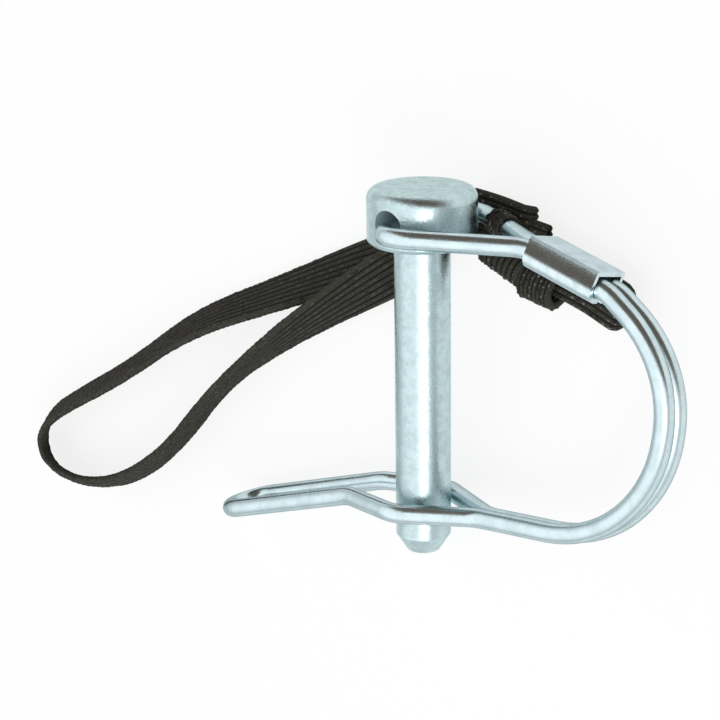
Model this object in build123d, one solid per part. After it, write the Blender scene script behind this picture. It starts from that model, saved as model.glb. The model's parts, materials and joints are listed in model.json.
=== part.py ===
"""Lynch pin: a headed steel pin, a sprung wire bail with a folded sleeve, and an elastic keeper strap.

The pieces are drawn with the pin upright and its tip at zero: X runs from the pin to the bow of the
bail, Y from the front leg to the back leg, Z up the pin. They are then laid on their back, as the part
comes to rest on a table: on the strap's knot, the eye of the bail and the end of its tab.
"""

import os
from math import asin, atan2, cos, degrees, hypot, radians, sin, sqrt, tan

from build123d import *

# Pin, turned from one bar
shank_diameter = 8.0
shank_length = 46.0
head_diameter = 15.6
head_height = 8.0
head_top_round = 1.6
head_foot_round = 0.8
tip_chamfer_length = 2.5
tip_chamfer_depth = 1.6
cross_hole_diameter = 4.6
cross_hole_below_top = 4.35

# Wire of the bail, and the room it needs
wire_diameter = 2.8
side_clearance = 0.3
hole_clearance = 0.15
wire_gap = 0.04

# Legs of the bail, which turn into the head
leg_end_depth = 4.0
leg_bend_radius = 2.2
leg_shoulder_reach = 3.8
leg_shoulder_radius = 6.0
leg_reach = 18.8
leg_fall = 0.8
leg_merge_radius = 6.0

# Bow of the bail: its top corner from the pin's axis and from the tip, then each corner from the one before
bow_top_reach = 32.2
bow_top_height = 44.15
bow_top_radius = 6.0
bow_shoulder_step = 10.2
bow_shoulder_drop = 7.9
bow_shoulder_radius = 16.6
bow_belly_step = 1.7
bow_belly_drop = 15.75
bow_belly_radius = 20.0
bow_foot_step = 9.3
bow_foot_drop = 11.65
bow_foot_radius = 20.0
bow_roll = 14.0

# Eye that snaps over the tip, and the finger tab beyond it
eye_merge_reach = 10.8
eye_merge_height = 7.35
eye_merge_radius = 6.0
eye_corner_reach = 0.4
eye_corner_height = 7.1
eye_corner_radius = 5.0
tab_half_width = 4.0
tab_start_reach = 11.0
tab_start_height = 6.65
tab_bend_radius = 7.0
tab_end_reach = 37.5
tab_end_height = -2.2

# Sleeve, folded from sheet round both legs
sleeve_length = 11.3
sleeve_sheet = 0.7
sleeve_clearance = 0.1
sleeve_top_room = 0.3
sleeve_crease_radius = 0.5
sleeve_seam = 1.2

# Elastic strap, knotted round the back leg, with two cut ends
strap_width = 7.5
strap_thickness = 1.2
wrap_reach = 12.0
wrap_width = 6.0
knot_radius = 3.6
knot_back_reach = 9.0
knot_low_reach = 11.5
knot_low_height = 41.0
knot_high_reach = 9.2
knot_high_height = 47.4
tail_reach = 27.0
tail_end_height = 38.8
stub_reach = 15.6
stub_end_height = 46.0

# Route of the strap's loop as it lies on the table, and how far the strap leans up from lying flat
loop_route = [
    (7.0, 24.6, 0.68, 0),
    (-6.2, 19.5, 0.66, 0),
    (-20.3, 13.7, 0.95, 4),
    (-35.8, 6.6, 1.85, 18),
    (-53.2, -1.2, 2.65, 30),
    (-66.7, -11.5, 3.75, 56),
    (-79.6, -19.3, 3.9, 63),
    (-85.0, -23.3, 3.8, 57),
    (-86.9, -27.9, 3.4, 46),
    (-83.8, -31.5, 3.65, 52),
    (-75.6, -32.6, 4.05, 72),
    (-64.9, -29.7, 4.1, 84),
    (-55.0, -21.7, 4.0, 68),
    (-46.7, -10.6, 2.2, 22),
    (-33.9, -0.2, 1.6, 7),
    (-21.9, 8.0, 2.3, 3),
    (-7.3, 18.0, 1.9, 0),
    (5.5, 24.0, 1.9, 0),
]
loop_arc_share = 0.45
straight_share = 0.02

shank_radius = shank_diameter / 2
head_radius = head_diameter / 2
wire_radius = wire_diameter / 2
hole_radius = cross_hole_diameter / 2
pin_length = shank_length + head_height
hole_height = pin_length - cross_hole_below_top
leg_height = hole_height - (hole_radius - wire_radius - hole_clearance)
leg_spread = head_radius + side_clearance + wire_radius
pair_half_width = wire_radius + wire_gap / 2
pair_rise = pair_half_width * tan(radians(bow_roll))
bow_shoulder_reach = bow_top_reach + bow_shoulder_step
bow_shoulder_height = bow_top_height - bow_shoulder_drop
bow_belly_reach = bow_shoulder_reach - bow_belly_step
bow_belly_height = bow_shoulder_height - bow_belly_drop
bow_foot_reach = bow_belly_reach - bow_foot_step
bow_foot_height = bow_belly_height - bow_foot_drop
eye_room = shank_radius + side_clearance + wire_radius
eye_splay = asin(eye_room / hypot(eye_merge_reach, pair_half_width)) - atan2(pair_half_width, eye_merge_reach)
eye_half_width = pair_half_width + (eye_merge_reach + eye_corner_reach) * tan(eye_splay)
on_base = (Align.CENTER, Align.CENTER, Align.MIN)


def half_corner(before, corner, after):
    """Half the angle between the two runs that meet at a corner."""
    return radians((before - corner).get_angle(after - corner)) / 2


def corner_arc(before, corner, after, radius):
    """Start, middle and end of the arc that rounds a corner."""
    back = (before - corner).normalized()
    ahead = (after - corner).normalized()
    half_angle = half_corner(before, corner, after)
    reach = radius / tan(half_angle)
    inward = (back + ahead).normalized()
    return corner + back * reach, corner + inward * (radius / sin(half_angle) - radius), corner + ahead * reach


def rounded_path(corners, radii):
    """Straight runs between the corners, with an arc at each inner corner that shrinks where a run is short."""
    points = [Vector(*corner) for corner in corners]
    runs = [(end - start).length * (1 - straight_share) for start, end in zip(points, points[1:])]
    inner = zip(points, points[1:], points[2:], radii)
    reaches = [0] + [radius / tan(half_corner(*trio)) for *trio, radius in inner] + [0]
    edges = []
    start = points[0]
    for i in range(1, len(points) - 1):
        fit_before = runs[i - 1] / (reaches[i - 1] + reaches[i])
        fit_after = runs[i] / (reaches[i] + reaches[i + 1])
        radius = radii[i - 1] * min(1, fit_before, fit_after)
        arc_start, arc_middle, arc_end = corner_arc(*points[i - 1 : i + 2], radius)
        edges.append(Edge.make_line(start, arc_start))
        edges.append(Edge.make_three_point_arc(arc_start, arc_middle, arc_end))
        start = arc_end
    edges.append(Edge.make_line(start, points[-1]))
    return Wire(edges)


def leg_corners(side):
    """Corners of one half of the bail, from its end in the head to the end of the tab."""
    across = side * pair_half_width
    rise = -side * pair_rise
    return [
        (0, side * leg_end_depth, leg_height),
        (0, side * leg_spread, leg_height),
        (leg_shoulder_reach, side * leg_spread, leg_height),
        (leg_reach, across, leg_height - leg_fall + rise),
        (bow_top_reach, across, bow_top_height + rise),
        (bow_shoulder_reach, across, bow_shoulder_height + rise),
        (bow_belly_reach, across, bow_belly_height + rise),
        (bow_foot_reach, across, bow_foot_height + rise),
        (eye_merge_reach, across, eye_merge_height + rise),
        (-eye_corner_reach, side * eye_half_width, eye_corner_height),
        (-tab_start_reach, side * tab_half_width, tab_start_height),
        (-tab_end_reach, side * tab_half_width, tab_end_height),
    ]


leg_radii = [
    leg_bend_radius,
    leg_shoulder_radius,
    leg_merge_radius,
    bow_top_radius,
    bow_shoulder_radius,
    bow_belly_radius,
    bow_foot_radius,
    eye_merge_radius,
    eye_corner_radius,
    tab_bend_radius,
    tab_half_width,
]


def make_pin():
    """Head and shank in one, with the tip bevelled and the head drilled across for the bail."""
    head = Pos(0, 0, shank_length) * Cylinder(head_radius, head_height, align=on_base)
    head = fillet(head.edges().group_by(Axis.Z)[-1], head_top_round)
    head = fillet(head.edges().group_by(Axis.Z)[0], head_foot_round)
    shank = Cylinder(shank_radius, shank_length + head_height / 2, align=on_base)
    side = shank.faces().sort_by(Axis.Z)[1]
    tip_edge = shank.edges().group_by(Axis.Z)[0]
    shank = chamfer(tip_edge, tip_chamfer_length, tip_chamfer_depth, reference=side)
    hole = Pos(0, 0, hole_height) * Rot(90, 0, 0) * Cylinder(hole_radius, 2 * head_diameter)
    return head + shank - hole


def make_bail():
    """One length of wire: front leg, bow, eye and tab, then back the same way to the back leg."""
    path = rounded_path(leg_corners(-1) + leg_corners(1)[::-1], leg_radii + leg_radii[::-1])
    return sweep(Plane(path @ 0, z_dir=path % 0) * Circle(wire_radius), path)


def make_sleeve():
    """Sheet folded round the two legs, with its seam underneath and a little room above the wires."""
    start = Vector(leg_reach, 0, leg_height - leg_fall)
    run = Vector(bow_top_reach, 0, bow_top_height) - start
    along = run.normalized()
    across = Vector(0, pair_half_width, -pair_rise)
    across = across - along * across.dot(along)
    inner_width = 2 * (across.length + wire_radius + sleeve_clearance)
    inner_height = wire_diameter + sleeve_clearance + sleeve_top_room
    outer_width = inner_width + 2 * sleeve_sheet
    outer_height = inner_height + 2 * sleeve_sheet
    lift = (sleeve_top_room - sleeve_clearance) / 2
    outside = Rectangle(outer_width, outer_height)
    outside = fillet(outside.vertices().group_by(Axis.Y)[-1], sleeve_crease_radius)
    outside = fillet(outside.vertices().group_by(Axis.Y)[0], wire_radius + sleeve_clearance + sleeve_sheet)
    inside = Rectangle(inner_width, inner_height)
    inside = fillet(inside.vertices().group_by(Axis.Y)[0], wire_radius + sleeve_clearance)
    seam = Pos(0, -outer_height / 2) * Rectangle(sleeve_seam, 2 * sleeve_sheet)
    section = outside - inside - seam
    place = Plane(start + run / 2, x_dir=across, z_dir=along)
    return extrude(place * Pos(0, lift) * section, sleeve_length / 2, both=True)


def strap_end(start, end):
    """A cut end of the strap, lying flat behind the bail."""
    run = end - start
    place = Plane(start + run / 2, x_dir=run, z_dir=(0, 1, 0))
    outline = RectangleRounded(run.length, strap_width, strap_thickness)
    return extrude(place * outline, strap_thickness / 2, both=True)


def domed_bar(start, end, radius):
    """A round bar with domed ends."""
    run = end - start
    outline = Line((radius, 0), (radius, run.length))
    outline += CenterArc((0, run.length), radius, 0, 90)
    outline += Line((0, run.length + radius), (0, -radius))
    outline += CenterArc((0, 0), radius, -90, 90)
    return Plane(start, z_dir=run) * revolve(Plane.XZ * make_face(outline), Axis.Z)


def make_knot():
    """The strap's turn round the back leg, the lump of the knot behind it and the two cut ends."""
    corners = leg_corners(1)
    shoulder = Vector(*corners[2])
    run = (Vector(*corners[3]) - shoulder).normalized()
    leg = Plane(shoulder + run * ((wrap_reach - leg_shoulder_reach) / run.X), z_dir=run)
    room = leg * Cylinder(wire_radius + side_clearance, 2 * leg_reach)
    wrap = leg * Cylinder(wire_radius + side_clearance + strap_thickness, wrap_width)
    low = Vector(knot_low_reach, knot_back_reach, knot_low_height)
    high = Vector(knot_high_reach, knot_back_reach, knot_high_height)
    tail = strap_end(low, Vector(tail_reach, knot_back_reach, tail_end_height))
    stub = strap_end(high, Vector(stub_reach, knot_back_reach, stub_end_height))
    return domed_bar(low, high, knot_radius) + wrap + tail + stub - room


def strap_section(point, along, lean):
    """Section of the strap across its run, leaning up from the table by the given angle."""
    side = Vector(0, 0, 1).cross(along).normalized()
    up = along.cross(side)
    across = side * cos(radians(lean)) + up * sin(radians(lean))
    return Plane(point, x_dir=across, z_dir=along) * Rectangle(strap_width, strap_thickness)


def make_loop():
    """The strap's loop: sections along straight runs and arcs, each arc as large as its runs allow."""
    points = [Vector(*point[:3]) for point in loop_route]
    leans = [point[3] for point in loop_route]
    first_run = (points[1] - points[0]).normalized()
    last_run = (points[-1] - points[-2]).normalized()
    sections = [strap_section(points[0], first_run, leans[0])]
    for i in range(1, len(points) - 1):
        before, corner, after = points[i - 1 : i + 2]
        back = before - corner
        ahead = after - corner
        half_turn = radians(180 - back.get_angle(ahead)) / 2
        reach = loop_arc_share * min(back.length, ahead.length)
        radius = reach / tan(half_turn)
        print(f"strap loop, point {i}: turn {2 * degrees(half_turn):.0f} degrees, radius {radius:.1f} mm")
        arc_start, arc_middle, arc_end = corner_arc(before, corner, after, radius)
        lean_in = leans[i] + (leans[i - 1] - leans[i]) * reach / back.length
        lean_out = leans[i] + (leans[i + 1] - leans[i]) * reach / ahead.length
        sections.append(strap_section(arc_start, -back.normalized(), lean_in))
        sections.append(strap_section(arc_middle, (after - before).normalized(), leans[i]))
        sections.append(strap_section(arc_end, ahead.normalized(), lean_out))
    sections.append(strap_section(points[-1], last_run, leans[-1]))
    return loft(sections, ruled=True)


def table_up():
    """The way up from a table that touches the knot's low end, the eye's back corner and the end of the tab."""
    merge, eye, tab_start, tab_end = [Vector(*corner) for corner in leg_corners(1)[-4:]]
    front_end = Vector(*leg_corners(-1)[-1])
    eye_spot = corner_arc(merge, eye, tab_start, eye_corner_radius)[1]
    tab_spot = corner_arc(tab_start, tab_end, front_end, tab_half_width)[0]
    to_knot = Vector(knot_low_reach, knot_back_reach, knot_low_height) - eye_spot
    to_tab = tab_spot - eye_spot
    level = to_tab.normalized()
    slope = to_knot - level * to_knot.dot(level)
    lean = slope * ((knot_radius - wire_radius) / slope.length**2)
    return lean + to_knot.cross(to_tab).normalized() * sqrt(1 - lean.length**2)


up = table_up()
ahead = Vector(1, 0, 0) - up * up.X
lay_down = Plane((0, 0, 0), x_dir=ahead, z_dir=up).location.inverse()

drawn = {
    "pin": make_pin(),
    "wire_bail": make_bail(),
    "sleeve": make_sleeve(),
    "strap_knot": make_knot(),
}
laid = {name: lay_down * piece for name, piece in drawn.items()}
box = Compound(list(laid.values())).bounding_box(optimal=True)
to_origin = Pos(-box.center().X, -box.center().Y, -box.min.Z)
pieces = {name: to_origin * piece for name, piece in laid.items()}
pieces["strap_loop"] = make_loop()

os.makedirs("parts", exist_ok=True)
for name, piece in pieces.items():
    export_step(piece, f"parts/{name}.step")
hole_middle = to_origin * lay_down * Pos(0, 0, hole_height)
print(f"up from the table {up}, cross hole at {hole_middle.position}")
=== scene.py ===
# %% [markdown]
# # A lynch pin in zinc and elastic
#
# A lynch pin locks a tube on a shaft: the pin goes through both, and its sprung wire bail snaps over the
# tip. The imported solids of the pin, its bail and its folded sleeve come in as a fixed frame. This lesson
# gives the metal its zinc finish, knits the elastic strap with its knot, and sets up the light and the
# camera. Sizes are in metres.

# %% Load the frame
import json
from math import cos, pi, radians, sin

import bpy
import numpy as np
from mathutils import Matrix, Vector


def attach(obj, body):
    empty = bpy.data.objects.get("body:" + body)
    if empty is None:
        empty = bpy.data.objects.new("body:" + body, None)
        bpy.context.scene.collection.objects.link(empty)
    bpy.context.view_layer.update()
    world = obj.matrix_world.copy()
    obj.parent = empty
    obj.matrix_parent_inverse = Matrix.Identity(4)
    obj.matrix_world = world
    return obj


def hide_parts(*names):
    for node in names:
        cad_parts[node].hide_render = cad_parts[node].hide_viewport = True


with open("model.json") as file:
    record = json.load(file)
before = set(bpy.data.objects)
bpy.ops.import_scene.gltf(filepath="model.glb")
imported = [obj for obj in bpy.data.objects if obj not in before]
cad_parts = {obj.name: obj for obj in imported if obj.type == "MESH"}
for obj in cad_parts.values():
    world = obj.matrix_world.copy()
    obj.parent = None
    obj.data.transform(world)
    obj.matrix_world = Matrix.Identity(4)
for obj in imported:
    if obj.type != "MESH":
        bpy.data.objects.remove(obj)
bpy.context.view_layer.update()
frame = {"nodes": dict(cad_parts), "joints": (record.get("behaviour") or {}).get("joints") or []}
MM = 0.001
print("nodes:", sorted(frame["nodes"]))

# %% [markdown]
# ## The pin's own axes
#
# The part lies on its back, so its pin points along the table. The one joint says where the hole across
# the head is and which way it runs, and from that come the directions that the pin was designed in:
# `ahead` to the bow of the bail, `behind` to the back leg and `along` from the tip to the head. Typing
# them in would work too, but read from the frame they stay right when the part is packed again.

# %% Directions of the pin
joint = frame["joints"][0]
hinge = Vector(joint["pos_m"])
behind = -Vector(joint["axis"]).normalized()
ahead = behind.cross(Vector((0, 1, 0))).normalized()
along = ahead.cross(behind)
hole_height = 49.65 * MM
tip = hinge - along * hole_height


def from_pin(x, y, z):
    """A point given in the pin's own directions, from the middle of its tip."""
    return tip + ahead * x + behind * y + along * z


print("tip of the pin:", tuple(round(c, 4) for c in tip))

# %% [markdown]
# ## Camera
#
# The photograph looks at the pin from its front, a little from above and from the tab's side. A camera
# could be aimed by eye, but a fit lets the render lie over the photograph. The angles were found by
# fitting the head, the tip and the bow, and are counted from the pin's own directions. One point of the
# pin has a known place in the picture, and that places the camera.

# %% View of the photograph
view_azimuth = radians(41)
view_elevation = radians(17.43)
view_roll = radians(-0.80)
view_distance = 0.300
focal_px = 2100
image_px = 720
anchor_height = 26 * MM
anchor_px = (422.9, 378.0)

view_right = ahead * cos(view_azimuth) + behind * sin(view_azimuth)
view_back = (ahead * sin(view_azimuth) - behind * cos(view_azimuth)) * cos(view_elevation)
view_back += along * sin(view_elevation)
view_up = view_back.cross(view_right)
rolled_right = view_right * cos(view_roll) + view_up * sin(view_roll)
rolled_up = view_up * cos(view_roll) - view_right * sin(view_roll)
offset_right = (anchor_px[0] - image_px / 2) / focal_px * view_distance
offset_up = (image_px / 2 - anchor_px[1]) / focal_px * view_distance
eye = from_pin(0, 0, anchor_height) + view_back * view_distance
eye -= rolled_right * offset_right + rolled_up * offset_up
print("camera at", tuple(round(c, 3) for c in eye))

# %% Camera
sensor_mm = 36
camera_data = bpy.data.cameras.new("camera")
camera_data.sensor_width = sensor_mm
camera_data.lens = focal_px / image_px * sensor_mm
camera_data.clip_start = 0.01
camera = bpy.data.objects.new("camera", camera_data)
turned = Matrix((rolled_right, rolled_up, view_back)).transposed().to_4x4()
camera.matrix_world = Matrix.Translation(eye) @ turned
bpy.context.scene.collection.objects.link(camera)
bpy.context.scene.camera = camera
print(f"lens of {camera_data.lens:.0f} mm")

# %% [markdown]
# ## Elastic strap: its route
#
# The strap is a flat knitted elastic. Its loop lies on the table, so the route is a list of given points,
# in millimetres, and a smooth NURBS spline runs along them. It has the plan of the solid band,
# but for its ends, which stop behind the head. The last number is how far the strap leans up from lying
# flat: on the table it stands partly on its edge, as a stiff elastic does, and near the head it lies flat
# under the pin, where both strands gather into the knot. A curve with a bevel could draw the band at
# once, but it has no marks for the stitches. So the spline is only the route, and a second spline carries
# the lean.

# %% Route of the loop
loop_route_mm = [
    (-1.0, 23.7, 1.05, 0),
    (-6.2, 19.5, 1.20, 0),
    (-20.3, 13.7, 2.15, 20),
    (-35.8, 6.6, 3.35, 44),
    (-53.2, -1.2, 3.64, 52),
    (-66.7, -11.5, 3.80, 58),
    (-79.6, -19.3, 3.92, 63),
    (-85.0, -23.3, 3.80, 57),
    (-86.9, -27.9, 3.45, 46),
    (-83.8, -31.5, 3.70, 52),
    (-75.6, -32.6, 4.05, 72),
    (-64.9, -29.7, 4.10, 85),
    (-55.0, -21.7, 3.90, 100),
    (-46.7, -10.6, 3.85, 103),
    (-33.9, -0.2, 4.40, 80),
    (-21.9, 8.0, 4.80, 53),
    (-7.3, 18.0, 2.45, 8),
    (-1.6, 23.3, 1.90, 0),
]
samples_per_point = 24
spline_order = 3


def read_spline(points):
    """Points along a NURBS spline with these control points, as Blender evaluates it."""
    data = bpy.data.curves.new("route", "CURVE")
    data.dimensions = "3D"
    data.resolution_u = samples_per_point
    spline = data.splines.new("NURBS")
    spline.points.add(len(points) - 1)
    for control, point in zip(spline.points, points):
        control.co = (*point, 1)
    spline.use_endpoint_u = True
    spline.order_u = spline_order
    carrier = bpy.data.objects.new("route", data)
    bpy.context.scene.collection.objects.link(carrier)
    bpy.context.view_layer.update()
    depsgraph = bpy.context.evaluated_depsgraph_get()
    mesh = bpy.data.meshes.new_from_object(carrier.evaluated_get(depsgraph))
    line = np.array([v.co for v in mesh.vertices])
    bpy.data.objects.remove(carrier)
    bpy.data.curves.remove(data)
    bpy.data.meshes.remove(mesh)
    return line


loop_line = read_spline([tuple(c * MM for c in point[:3]) for point in loop_route_mm])
loop_lean = read_spline([(i, point[3], 0) for i, point in enumerate(loop_route_mm)])[:, 1]

# %% [markdown]
# ## Elastic strap: its section
#
# Knitted elastic has ribs along its length, one for each rubber thread. They could be a bump in the
# material, but they catch the light along the whole loop, so they are real shape here: the section is a
# flat band whose two faces are rows of low arches.

# %% Section of the strap
strap_width = 7.5 * MM
strap_thickness = 1.2 * MM
rib_count = 8
rib_steps = 4
face_points = rib_count * rib_steps + 1
rib_depth_share = 0.34
edge_share = 0.25


def band_section(width, thickness):
    """Closed outline of the strap across its run: ribs on both faces and round edges."""
    across = np.linspace(-1, 1, face_points)
    phase = (across + 1) / 2 * rib_count % 1
    arch = np.sqrt(np.clip(1 - (2 * phase - 1) ** 2, 0, 1))
    to_edge = np.clip((1 - np.abs(across)) * rib_count, 0, 1)
    rounding = np.sqrt(edge_share + (1 - edge_share) * to_edge)
    half = thickness / 2 * (1 - rib_depth_share + rib_depth_share * arch) * rounding
    face = np.stack([across * width / 2, half], axis=1)
    return np.concatenate([face, face[::-1] * (1, -1)])


print("section of", len(band_section(strap_width, strap_thickness)), "points")

# %% [markdown]
# ## Elastic strap: its sweep
#
# One function sweeps the section along any line of points, so the loop, the knot and the cut ends all
# match. It sets a copy of the section at even steps of the line and joins neighbours with faces. Each
# band keeps what the later steps need: a UV map in millimetres, the direction of its run, the grooves
# between its ribs, and every second step of each rib's crest, in turn from rib to rib, where a stitch of
# yarn will sit.

# %% Lines and faces of a band
band_step = 0.55 * MM
least_stops = 4


def length_so_far(line):
    """How far along a line each of its points is."""
    return np.concatenate([[0], np.cumsum(np.linalg.norm(np.diff(line, axis=0), axis=1))])


def units(vectors):
    """The same vectors, each of length 1."""
    return vectors / np.linalg.norm(vectors, axis=1)[:, None]


def even_steps(line, *values):
    """A line, and values along it, read again at even steps of its length."""
    gone = length_so_far(line)
    stops = np.linspace(0, gone[-1], max(least_stops, round(gone[-1] / band_step) + 1))
    return [
        np.stack([np.interp(stops, gone, column) for column in rows.T], axis=1)
        for rows in (line, *values)
    ]


def band_faces(count, around):
    """Quads between neighbouring sections, and a face on each end."""
    faces = []
    for i in range(count - 1):
        for j in range(around):
            k = (j + 1) % around
            faces.append((i * around + j, (i + 1) * around + j, (i + 1) * around + k, i * around + k))
    faces.append(tuple(range(around)))
    faces.append(tuple((count - 1) * around + j for j in range(around - 1, -1, -1)))
    return faces


print(f"bands step by {band_step / MM:.2f} mm")

# %% Sweep of a ribbed band


def mark_band(mesh, section, gone, run):
    """Give a band its UV map, its run, its grooves and the crests that get a stitch."""
    count, around = len(gone), len(section)
    across = section[:, 0] / MM
    ids = np.array([loop.vertex_index for loop in mesh.loops])
    layer = mesh.uv_layers.new(name="strap")
    layer.data.foreach_set("uv", np.stack([gone[ids // around] / MM, across[ids % around]], axis=1).ravel())
    j = np.arange(around)
    spot_on_face = np.where(j < face_points, j, around - 1 - j)
    rib, step_on_rib = np.divmod(spot_on_face, rib_steps)
    every_second = (np.arange(count)[:, None] + rib[None]) % 2 == 0
    crest = (step_on_rib == rib_steps // 2)[None] & every_second
    inside = (spot_on_face > 0) & (spot_on_face < face_points - 1)
    groove = np.tile(inside & (step_on_rib == 0), count)
    for label, marked in (("crest", crest), ("groove", groove)):
        attribute = mesh.attributes.new(label, "FLOAT", "POINT")
        attribute.data.foreach_set("value", marked.astype(float).ravel())
    attribute = mesh.attributes.new("run", "FLOAT_VECTOR", "POINT")
    attribute.data.foreach_set("vector", np.repeat(run, around, axis=0).ravel())


def sweep_band(name, line, sides, width=strap_width, thickness=strap_thickness, taper=None):
    """A ribbed band along a line of points, with the given direction across it at each point."""
    line, sides = even_steps(line, sides)
    run = units(np.gradient(line, axis=0))
    sides = units(sides - run * (sides * run).sum(1)[:, None])
    faces_up = np.cross(run, sides)
    section = band_section(width, thickness)
    count, around = len(line), len(section)
    scale = np.ones(count) if taper is None else np.interp(np.linspace(0, 1, count), *taper)
    spots = line[:, None] + sides[:, None] * section[None, :, :1] * scale[:, None, None]
    spots = spots + faces_up[:, None] * section[None, :, 1:]
    mesh = bpy.data.meshes.new(name)
    mesh.from_pydata(spots.reshape(-1, 3).tolist(), [], band_faces(count, around))
    mark_band(mesh, section, length_so_far(line), run)
    mesh.shade_smooth()
    return mesh


def leaning_sides(line, lean):
    """Direction across the strap, leaning up from the table by an angle in degrees."""
    run = units(np.gradient(line, axis=0))
    flat = units(np.cross((0, 0, 1), run))
    raised = np.cross(run, flat)
    lean = np.radians(lean)[:, None]
    return flat * np.cos(lean) + raised * np.sin(lean)


def place(name, meshes):
    """One object from one or more meshes, at the origin."""
    pieces = [bpy.data.objects.new(name, mesh) for mesh in meshes]
    for piece in pieces:
        bpy.context.scene.collection.objects.link(piece)
    if len(pieces) > 1:
        chosen = {"active_object": pieces[0], "object": pieces[0], "selected_editable_objects": pieces}
        with bpy.context.temp_override(**chosen):
            bpy.ops.object.join()
    return pieces[0]


gathered_ends = ([0, 0.03, 0.075, 0.925, 0.97, 1], [0.45, 0.5, 1, 1, 0.5, 0.45])
loop_sides = leaning_sides(loop_line, loop_lean)
elastic_loop = place("elastic_loop", [sweep_band("elastic_loop", loop_line, loop_sides, taper=gathered_ends)])
print("loop faces:", len(elastic_loop.data.polygons))

# %% [markdown]
# ## Elastic strap: the knot
#
# The same strap is turned round the back leg of the bail and tied below it. From the front the knot shows
# as six flat turns: a ring on the leg, a fold beside the head, a short cut end, two fat turns of the knot
# and the long tail. A cloth simulation could tie it, but it is slow and hard to steer. So each turn is a
# band of its own, with points in the pin's directions and in millimetres. The ring on the leg is
# stretched tight, so it is thinner, and clears the head.

# %% Bands and rings of the knot
ring_steps = 40
ring_turns = 1.08
ring_rise_share = 0.2


def direction(x, y, z):
    """A direction given in the pin's own directions."""
    return np.array((ahead * x + behind * y + along * z).normalized())


def knot_band(name, points, taper=None):
    """A band through points in the pin's directions, with its width along the pin."""
    line = read_spline([tuple(from_pin(*(c * MM for c in point))) for point in points])
    sides = np.repeat(direction(0, 0, 1)[None], len(line), axis=0)
    return sweep_band(name, line, sides, taper=taper)


def knot_ring(name, centre, axis, radius, width=strap_width, stretch=1.0, thickness=strap_thickness):
    """A turn of the strap round an axis, whose end lies over its start on the side of the table."""
    spine = direction(*axis)
    out = np.array(behind) - spine * np.dot(behind, spine)
    out /= np.linalg.norm(out)
    over = np.cross(spine, out)
    share = np.linspace(0, ring_turns, ring_steps)
    angle = 2 * pi * share
    rise = thickness * ring_rise_share
    reach = radius - rise + rise * share / ring_turns
    circle = out * stretch * np.cos(angle)[:, None] + over * np.sin(angle)[:, None]
    line = np.array(from_pin(*(c * MM for c in centre))) + reach[:, None] * circle
    sides = np.repeat(spine[None], len(line), axis=0)
    return sweep_band(name, line, sides, width=width, thickness=thickness)


print(f"a ring goes round {ring_turns} times")

# %% Turns of the knot
fold_points = [
    (0, 11.9, 47.9),
    (4.5, 11.5, 47.6),
    (8, 10.3, 47.5),
    (10.6, 9.9, 47.1),
    (11.7, 10.6, 46.9),
    (10.6, 11.4, 46.8),
    (6, 11.8, 46.7),
]
short_end_points = [(8, 10.5, 45.7), (11, 10.2, 45.4), (14.5, 9.8, 45.0)]
tail_points = [(12, 9.8, 43.6), (18, 9.3, 42.3), (22.5, 9.4, 41), (26, 9.6, 39.4), (28.4, 9.7, 38.4)]
round_end = ([0, 0.9, 0.96, 1], [1, 1, 0.88, 0.6])
leg_ring = {"centre": (9.0, 6.70, 48.50), "axis": (0.878, -0.473, -0.067), "radius": 1.72 * MM}
upper_turn = {"centre": (8.4, 9.3, 43.3), "axis": (0.915, 0, -0.403), "radius": 2.4 * MM}
lower_turn = {"centre": (14.2, 9.4, 40.3), "axis": (0.93, 0, -0.2), "radius": 2.45 * MM}
knot_meshes = [
    knot_ring("leg_ring", **leg_ring, width=4.0 * MM, thickness=0.45 * MM),
    knot_band("fold", fold_points),
    knot_band("short_end", short_end_points),
    knot_ring("upper_turn", **upper_turn, stretch=1.1),
    knot_ring("lower_turn", **lower_turn, width=5.8 * MM),
    knot_band("tail", tail_points, taper=round_end),
]
elastic_knot = place("elastic_knot", knot_meshes)
print("knot faces:", len(elastic_knot.data.polygons))

# %% [markdown]
# ## Zinc finish
#
# The steel is zinc plated: a pale, slightly blue metal, brighter on the drawn wire and duller and blotchy
# on the turned pin. A picture of zinc could be laid over it, but it would show seams. Noise that is read
# in Object coordinates has none, so one node group gives the blotches and the fine grain for all three
# metals.

# %% Plating that the metals share


def add(tree, kind, **settings):
    """A node with its properties and its input values set by name."""
    node = tree.nodes.new(kind)
    for label, value in settings.items():
        if hasattr(node, label):
            setattr(node, label, value)
        else:
            node.inputs[label.replace("_", " ")].default_value = value
    return node


def ramp(tree, source, low, high):
    """A value stretched from low..high to 0..1."""
    node = add(tree, "ShaderNodeMapRange", interpolation_type="SMOOTHSTEP")
    node.inputs["From Min"].default_value = low
    node.inputs["From Max"].default_value = high
    tree.links.new(source, node.inputs["Value"])
    return node.outputs["Result"]


plating = bpy.data.node_groups.new("zinc_plating", "ShaderNodeTree")
for label in ("Blotch Scale", "Grain Scale"):
    plating.interface.new_socket(label, in_out="INPUT", socket_type="NodeSocketFloat")
for label in ("Blotch", "Grain"):
    plating.interface.new_socket(label, in_out="OUTPUT", socket_type="NodeSocketFloat")
group_in = plating.nodes.new("NodeGroupInput")
group_out = plating.nodes.new("NodeGroupOutput")
spot = plating.nodes.new("ShaderNodeTexCoord")
blotch = add(plating, "ShaderNodeTexNoise", Detail=6, Roughness=0.68)
grain = add(plating, "ShaderNodeTexNoise", Detail=3, Roughness=0.7)
plating.links.new(spot.outputs["Object"], blotch.inputs["Vector"])
plating.links.new(spot.outputs["Object"], grain.inputs["Vector"])
plating.links.new(group_in.outputs["Blotch Scale"], blotch.inputs["Scale"])
plating.links.new(group_in.outputs["Grain Scale"], grain.inputs["Scale"])
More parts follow.
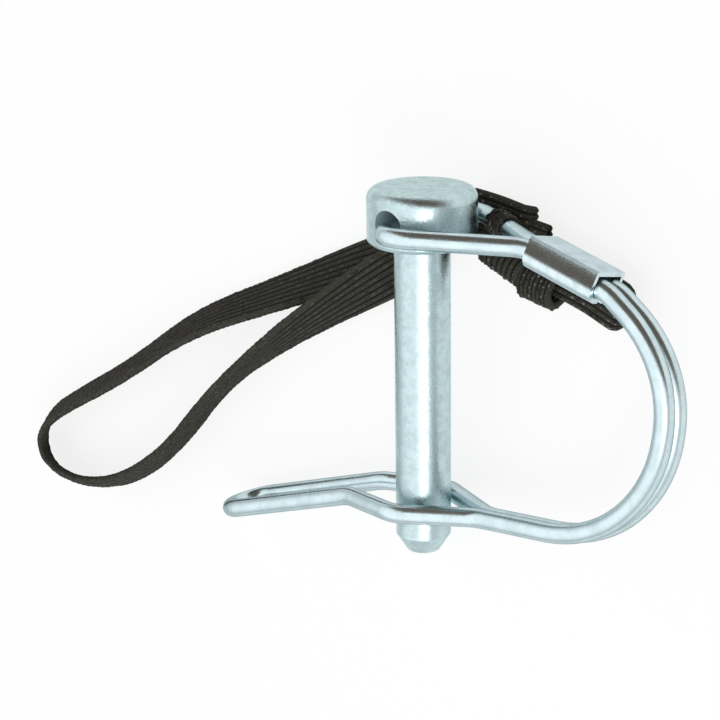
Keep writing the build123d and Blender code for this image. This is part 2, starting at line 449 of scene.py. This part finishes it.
plating.links.new(ramp(plating, blotch.outputs["Fac"], low=0.35, high=0.68), group_out.inputs["Blotch"])
plating.links.new(grain.outputs["Fac"], group_out.inputs["Grain"])
print("plating has", len(plating.nodes), "nodes")

# %% Zinc materials
grain_depth = 0.1 * MM


def feed(tree, socket, value):
    """Link another node's output to a socket, or set the socket to a plain value."""
    if isinstance(value, bpy.types.NodeSocket):
        tree.links.new(value, socket)
    else:
        socket.default_value = value


def blend(tree, factor, first, second):
    """A colour between two, each a plain colour or another node's output."""
    node = add(tree, "ShaderNodeMix", data_type="RGBA")
    feed(tree, node.inputs["Factor"], factor)
    feed(tree, node.inputs["A"], first)
    feed(tree, node.inputs["B"], second)
    return node.outputs["Result"]


def zinc(name, pale, dull, edge, rough, rough_spread, bump, blotch_scale, grain_scale):
    """Zinc plate: two tints mixed by blotches, roughness that follows them and a fine grain."""
    material = bpy.data.materials.new(name)
    material.use_nodes = True
    tree = material.node_tree
    shader = tree.nodes["Principled BSDF"]
    shader.inputs["Metallic"].default_value = 1
    shader.inputs["Specular Tint"].default_value = (*edge, 1)
    plate = tree.nodes.new("ShaderNodeGroup")
    plate.node_tree = plating
    plate.inputs["Blotch Scale"].default_value = blotch_scale
    plate.inputs["Grain Scale"].default_value = grain_scale
    tint = blend(tree, plate.outputs["Blotch"], (*pale, 1), (*dull, 1))
    tree.links.new(tint, shader.inputs["Base Color"])
    gloss = tree.nodes.new("ShaderNodeMapRange")
    gloss.inputs["To Min"].default_value = rough
    gloss.inputs["To Max"].default_value = rough + rough_spread
    tree.links.new(plate.outputs["Blotch"], gloss.inputs["Value"])
    tree.links.new(gloss.outputs["Result"], shader.inputs["Roughness"])
    relief = add(tree, "ShaderNodeBump", Strength=bump, Distance=grain_depth)
    relief.name = "grain"
    tree.links.new(plate.outputs["Grain"], relief.inputs["Height"])
    tree.links.new(relief.outputs["Normal"], shader.inputs["Normal"])
    return material


pin_zinc = zinc(
    "pin_zinc",
    pale=(0.57, 0.71, 0.73),
    dull=(0.47, 0.59, 0.61),
    edge=(0.84, 0.91, 0.91),
    rough=0.23,
    rough_spread=0.14,
    bump=0.40,
    blotch_scale=760,
    grain_scale=3600,
)
wire_zinc = zinc(
    "wire_zinc",
    pale=(0.66, 0.79, 0.82),
    dull=(0.57, 0.69, 0.72),
    edge=(0.42, 0.48, 0.49),
    rough=0.21,
    rough_spread=0.08,
    bump=0.10,
    blotch_scale=420,
    grain_scale=2400,
)
sleeve_zinc = zinc(
    "sleeve_zinc",
    pale=(0.68, 0.80, 0.83),
    dull=(0.56, 0.67, 0.70),
    edge=(0.66, 0.72, 0.73),
    rough=0.22,
    rough_spread=0.10,
    bump=0.12,
    blotch_scale=520,
    grain_scale=2600,
)
for node_name, material in (("pin", pin_zinc), ("wire_bail", wire_zinc), ("sleeve", sleeve_zinc)):
    node = frame["nodes"][node_name]
    for slot in node.material_slots:
        slot.material = material
    print(node_name, "has", material.name, "on", len(node.data.polygons), "faces")

# %% [markdown]
# ## Inside of the drilled hole
#
# Plating is thin and matt on the wall of a drilled hole. The wall's faces could be picked out and given a
# second material. A mask of the distance from the hole's middle line needs no picking, and it turns the
# mirror finish into a plain grey there.

# %% Wall of the hole
hole_mask_radius = 2.33 * MM
hole_mask_fade = 1.03


def vector_maths(tree, operation, first, second=(0, 0, 0)):
    """A sum on two vectors, each a plain one or another node's output."""
    node = add(tree, "ShaderNodeVectorMath", operation=operation)
    feed(tree, node.inputs[0], first)
    feed(tree, node.inputs[1], second)
    return node.outputs["Value" if operation in ("DOT_PRODUCT", "LENGTH") else "Vector"]


def offset_from(tree, point):
    """Object coordinates, counted from a point."""
    spot = tree.nodes.new("ShaderNodeTexCoord")
    return vector_maths(tree, "SUBTRACT", spot.outputs["Object"], point)


tree = pin_zinc.node_tree
off_axis = vector_maths(tree, "CROSS_PRODUCT", offset_from(tree, hinge), behind)
distance = vector_maths(tree, "LENGTH", off_axis)
outside = ramp(tree, distance, low=hole_mask_radius, high=hole_mask_radius * hole_mask_fade)
tree.links.new(outside, tree.nodes["Principled BSDF"].inputs["Metallic"])
print(f"hole wall within {hole_mask_radius / MM:.2f} mm of the hole's middle line")

# %% [markdown]
# ## Crown of the sleeve
#
# The sleeve is thin sheet bent round two wires, so its front isn't quite flat: it bulges a little along
# its middle. The mesh could be bent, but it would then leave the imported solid. A height in the material
# that falls away from the sleeve's middle line shows it in the reflection alone, so that the upper half
# of the front mirrors another side of the room than the lower half.

# %% Bulge on the sleeve
sleeve_middle = from_pin(25.5 * MM, 0, 44.8 * MM)
sleeve_across = Vector(direction(0.283, 0, 0.959))
crown_per_metre = -150


def maths(tree, operation, first, second):
    """A sum on two values, each a plain number or another node's output."""
    node = add(tree, "ShaderNodeMath", operation=operation)
    feed(tree, node.inputs[0], first)
    feed(tree, node.inputs[1], second)
    return node.outputs["Value"]


tree = sleeve_zinc.node_tree
height = vector_maths(tree, "DOT_PRODUCT", offset_from(tree, sleeve_middle), sleeve_across)
bulge = maths(tree, "MULTIPLY", maths(tree, "MULTIPLY", height, height), crown_per_metre)
crown = add(tree, "ShaderNodeBump", Strength=1.0, Distance=1.0)
tree.links.new(bulge, crown.inputs["Height"])
tree.links.new(crown.outputs["Normal"], tree.nodes["grain"].inputs["Normal"])
print("sleeve crowned across", tuple(round(c, 3) for c in sleeve_across))

# %% [markdown]
# ## Elastic material
#
# Black rubber threads wrapped in matt yarn: a warm, very dark grey with a dusty sheen. A plain black
# would lose the knit, so the colour follows the strap. The fibres read its own UV map, which counts
# millimetres along and across. The attribute `groove` marks the lines between the ribs, which get a
# painted shade, almost black, for the shadow in the grooves. The attribute `yarn` marks the stitches,
# which are a little paler than the rubber between them.

# %% Elastic
rubber_dark = (0.023, 0.0225, 0.0185, 1)
rubber_pale = (0.072, 0.070, 0.058, 1)
yarn_dark = (0.014, 0.013, 0.011, 1)
yarn_pale = (0.250, 0.235, 0.200, 1)
# Painted shade: a near-black colour that stands for the shadow in the grooves between the ribs.
groove_painted_shade = (0.001, 0.001, 0.001, 1)
dusty_sheen = (1.0, 0.93, 0.80, 1)

elastic = bpy.data.materials.new("strap_elastic")
elastic.use_nodes = True
tree = elastic.node_tree
uv = add(tree, "ShaderNodeUVMap", uv_map="strap")
fibre = add(tree, "ShaderNodeTexNoise", Scale=5.5, Detail=3, Roughness=0.65)
tree.links.new(uv.outputs["UV"], fibre.inputs["Vector"])
spot = tree.nodes.new("ShaderNodeTexCoord")
dust = add(tree, "ShaderNodeTexNoise", Scale=1600, Detail=2)
tree.links.new(spot.outputs["Object"], dust.inputs["Vector"])
yarn = add(tree, "ShaderNodeAttribute", attribute_name="yarn")
groove = add(tree, "ShaderNodeAttribute", attribute_name="groove")
ground = blend(tree, ramp(tree, fibre.outputs["Fac"], low=0.35, high=0.7), rubber_dark, rubber_pale)
thread = blend(tree, ramp(tree, dust.outputs["Fac"], low=0.44, high=0.66), yarn_dark, yarn_pale)
shade = blend(tree, yarn.outputs["Fac"], ground, thread)
# The grooves get the painted shade, where the ribs' shadow would fall.
groove_shaded = blend(tree, groove.outputs["Fac"], shade, groove_painted_shade)
relief = add(tree, "ShaderNodeBump", Strength=0.4, Distance=0.1 * MM)
tree.links.new(dust.outputs["Fac"], relief.inputs["Height"])
shader = tree.nodes["Principled BSDF"]
tree.links.new(groove_shaded, shader.inputs["Base Color"])
tree.links.new(relief.outputs["Normal"], shader.inputs["Normal"])
shader.inputs["Roughness"].default_value = 0.8
shader.inputs["Specular IOR Level"].default_value = 0.10
shader.inputs["Sheen Weight"].default_value = 0.03
shader.inputs["Sheen Tint"].default_value = dusty_sheen
shader.inputs["Sheen Roughness"].default_value = 0.5
for piece in (elastic_loop, elastic_knot):
    piece.data.materials.append(elastic)
print("elastic has", len(tree.nodes), "nodes")

# %% [markdown]
# ## Stitches
#
# A geometry node tree sets one stitch of yarn on every marked point: a small ellipsoid that follows the
# run of the strap and faces out from it, each of its own size. A loop in Python could place them one by
# one, but the tree does it at once and both bands use it, each with its own sizes and seed. Realize
# Instances makes them plain mesh at the end, so that they are exported too.

# %% Inputs of the stitch tree
stitches = bpy.data.node_groups.new("yarn_stitches", "GeometryNodeTree")
stitches.is_modifier = True
stitches.interface.new_socket("Geometry", in_out="INPUT", socket_type="NodeSocketGeometry")
for label in ("Stitch Length", "Stitch Width", "Stitch Height", "Least Size", "Paleness"):
    stitches.interface.new_socket(label, in_out="INPUT", socket_type="NodeSocketFloat")
stitches.interface.new_socket("Seed", in_out="INPUT", socket_type="NodeSocketInt")
stitches.interface.new_socket("Yarn", in_out="INPUT", socket_type="NodeSocketMaterial")
stitches.interface.new_socket("Geometry", in_out="OUTPUT", socket_type="NodeSocketGeometry")
tie = stitches.links.new
group_in = stitches.nodes.new("NodeGroupInput")
group_out = stitches.nodes.new("NodeGroupOutput")
print("stitch tree has", len(stitches.interface.items_tree), "sockets")

# %% Place, turn and size of each stitch
crest = add(stitches, "GeometryNodeInputNamedAttribute", data_type="FLOAT", Name="crest")
marked = add(stitches, "FunctionNodeCompare", data_type="FLOAT", operation="GREATER_THAN")
marked.inputs["B"].default_value = 0.5
tie(crest.outputs["Attribute"], marked.inputs["A"])
run = add(stitches, "GeometryNodeInputNamedAttribute", data_type="FLOAT_VECTOR", Name="run")
facing = stitches.nodes.new("GeometryNodeInputNormal")
turn = add(stitches, "FunctionNodeAxesToRotation", primary_axis="Z", secondary_axis="X")
tie(facing.outputs["Normal"], turn.inputs["Primary Axis"])
tie(run.outputs["Attribute"], turn.inputs["Secondary Axis"])
size = stitches.nodes.new("ShaderNodeCombineXYZ")
for label, axis in (("Stitch Length", "X"), ("Stitch Width", "Y"), ("Stitch Height", "Z")):
    tie(group_in.outputs[label], size.inputs[axis])
chance = add(stitches, "FunctionNodeRandomValue", data_type="FLOAT")
tie(group_in.outputs["Least Size"], chance.inputs[2])
chance.inputs[3].default_value = 1
tie(group_in.outputs["Seed"], chance.inputs["Seed"])
sized = add(stitches, "ShaderNodeVectorMath", operation="SCALE")
tie(size.outputs["Vector"], sized.inputs["Vector"])
tie(chance.outputs[1], sized.inputs["Scale"])
print("stitch tree has", len(stitches.nodes), "nodes so far")

# %% Stitches as plain mesh
stitch = add(stitches, "GeometryNodeMeshUVSphere", Segments=6, Rings=4, Radius=0.5)
spread = stitches.nodes.new("GeometryNodeInstanceOnPoints")
tie(group_in.outputs["Geometry"], spread.inputs["Points"])
tie(marked.outputs["Result"], spread.inputs["Selection"])
tie(stitch.outputs["Mesh"], spread.inputs["Instance"])
tie(turn.outputs["Rotation"], spread.inputs["Rotation"])
tie(sized.outputs["Vector"], spread.inputs["Scale"])
real = stitches.nodes.new("GeometryNodeRealizeInstances")
tie(spread.outputs["Instances"], real.inputs["Geometry"])
smooth = stitches.nodes.new("GeometryNodeSetShadeSmooth")
tie(real.outputs["Geometry"], smooth.inputs["Geometry"])
tagged = add(stitches, "GeometryNodeStoreNamedAttribute", data_type="FLOAT", domain="POINT", Name="yarn")
tie(group_in.outputs["Paleness"], tagged.inputs["Value"])
tie(smooth.outputs["Geometry"], tagged.inputs["Geometry"])
both = stitches.nodes.new("GeometryNodeJoinGeometry")
tie(tagged.outputs["Geometry"], both.inputs["Geometry"])
tie(group_in.outputs["Geometry"], both.inputs["Geometry"])
dressed = stitches.nodes.new("GeometryNodeSetMaterial")
tie(both.outputs["Geometry"], dressed.inputs["Geometry"])
tie(group_in.outputs["Yarn"], dressed.inputs["Material"])
tie(dressed.outputs["Geometry"], group_out.inputs["Geometry"])
print("stitch tree has", len(stitches.nodes), "nodes")

# %% Stitches on the loop and the knot


def stitch_up(piece, **values):
    """Run the stitch tree on a piece and keep the result as its mesh."""
    modifier = piece.modifiers.new("stitches", "NODES")
    modifier.node_group = stitches
    for socket in stitches.interface.items_tree:
        if socket.in_out == "INPUT" and socket.name in values:
            modifier[socket.identifier] = values[socket.name]
    bpy.context.view_layer.update()
    depsgraph = bpy.context.evaluated_depsgraph_get()
    mesh = bpy.data.meshes.new_from_object(piece.evaluated_get(depsgraph))
    piece.modifiers.remove(modifier)
    piece.data = mesh
    mesh.calc_loop_triangles()
    print(piece.name, "has", len(mesh.loop_triangles), "triangles")


stitch_sizes = {"Stitch Width": 0.52 * MM, "Least Size": 0.3, "Yarn": elastic}
loop_stitch = {"Stitch Length": 1.5 * MM, "Stitch Height": 0.16 * MM, "Paleness": 0.14}
knot_stitch = {"Stitch Length": 0.95 * MM, "Stitch Height": 0.30 * MM, "Paleness": 0.7}
stitch_up(elastic_loop, Seed=3, **stitch_sizes, **loop_stitch)
stitch_up(elastic_knot, Seed=8, **stitch_sizes, **knot_stitch)

# %% [markdown]
# ## Floor
#
# The part lies on a white floor. A floor could be lit until it is white, but that light would wash out
# the metal too. So its material shows plain white to the camera and to mirrors, and a small share of real
# paint is left, which holds a light shadow.

# %% White floor
floor_size = 12.0
floor_colour = (0.95, 0.95, 0.95, 1)
floor_roughness = 0.9
floor_white_share = 0.84
corner = floor_size / 2
floor_corners = [(-corner, -corner, 0), (corner, -corner, 0), (corner, corner, 0), (-corner, corner, 0)]
floor_mesh = bpy.data.meshes.new("floor")
floor_mesh.from_pydata(floor_corners, [], [(0, 1, 2, 3)])
floor = bpy.data.objects.new("floor", floor_mesh)
bpy.context.scene.collection.objects.link(floor)
floor_paint = bpy.data.materials.new("floor_paint")
floor_paint.use_nodes = True
tree = floor_paint.node_tree
paint = tree.nodes["Principled BSDF"]
paint.inputs["Base Color"].default_value = floor_colour
paint.inputs["Roughness"].default_value = floor_roughness
rays = tree.nodes.new("ShaderNodeLightPath")
mirrored = maths(tree, "MAXIMUM", rays.outputs["Is Glossy Ray"], rays.outputs["Is Transmission Ray"])
seen = maths(tree, "MAXIMUM", rays.outputs["Is Camera Ray"], mirrored)
white = add(tree, "ShaderNodeEmission", Strength=1.0)
mixed = tree.nodes.new("ShaderNodeMixShader")
tree.links.new(maths(tree, "MULTIPLY", seen, floor_white_share), mixed.inputs["Fac"])
tree.links.new(paint.outputs["BSDF"], mixed.inputs[1])
tree.links.new(white.outputs["Emission"], mixed.inputs[2])
tree.links.new(mixed.outputs["Shader"], tree.nodes["Material Output"].inputs["Surface"])
floor_mesh.materials.append(floor_paint)
print("floor of", floor_size, "m")

# %% [markdown]
# ## Light
#
# The light is soft and comes from all round, and one lamp on the camera's side draws the pale line along
# the shank and each wire. A room of lamps and dark cards would do the same. A world that changes with
# direction is simpler and has no hard edges: it is brightest overhead, and dark beyond the head, which
# draws the dark edges on the wire and the head's rim.

# %% Lamp


def soft_lamp(name, position, target, size, power):
    """A square soft lamp that points at a target."""
    data = bpy.data.lights.new(name, "AREA")
    data.shape = "SQUARE"
    data.size = size
    data.energy = power
    lamp = bpy.data.objects.new(name, data)
    aim = (Vector(target) - Vector(position)).to_track_quat("-Z", "Y")
    lamp.matrix_world = Matrix.Translation(position) @ aim.to_matrix().to_4x4()
    bpy.context.scene.collection.objects.link(lamp)
    return lamp


front_lamp = soft_lamp("front", position=(0.50, -0.30, 0.55), target=(0, 0, 0), size=0.28, power=1.2)
print("lamp of", round(front_lamp.data.energy, 2), "W")

# %% World
horizon_light = (0.52, 0.53, 0.54, 1)
overhead_light = (1.10, 1.11, 1.12, 1)
dark_light = (0.12, 0.095, 0.075, 1)
dark_way = (0.42, 0.907, 0)
world_strength = 1.12

world = bpy.data.worlds.new("studio")
bpy.context.scene.world = world
world.use_nodes = True
tree = world.node_tree
way = tree.nodes.new("ShaderNodeTexCoord").outputs["Generated"]
parts = tree.nodes.new("ShaderNodeSeparateXYZ")
tree.links.new(way, parts.inputs["Vector"])
rise = blend(tree, ramp(tree, parts.outputs["Z"], low=0.05, high=0.75), horizon_light, overhead_light)
dark_side = ramp(tree, vector_maths(tree, "DOT_PRODUCT", way, dark_way), low=0.36, high=0.54)
background = tree.nodes["Background"]
tree.links.new(blend(tree, dark_side, rise, dark_light), background.inputs["Color"])
background.inputs["Strength"].default_value = world_strength
bpy.context.scene.view_settings.view_transform = "Standard"
print("world has", len(tree.nodes), "nodes")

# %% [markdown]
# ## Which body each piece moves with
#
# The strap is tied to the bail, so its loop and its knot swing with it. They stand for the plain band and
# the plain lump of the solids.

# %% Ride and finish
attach(elastic_loop, "bail")
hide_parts("strap_loop")
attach(elastic_knot, "bail")
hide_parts("strap_knot")
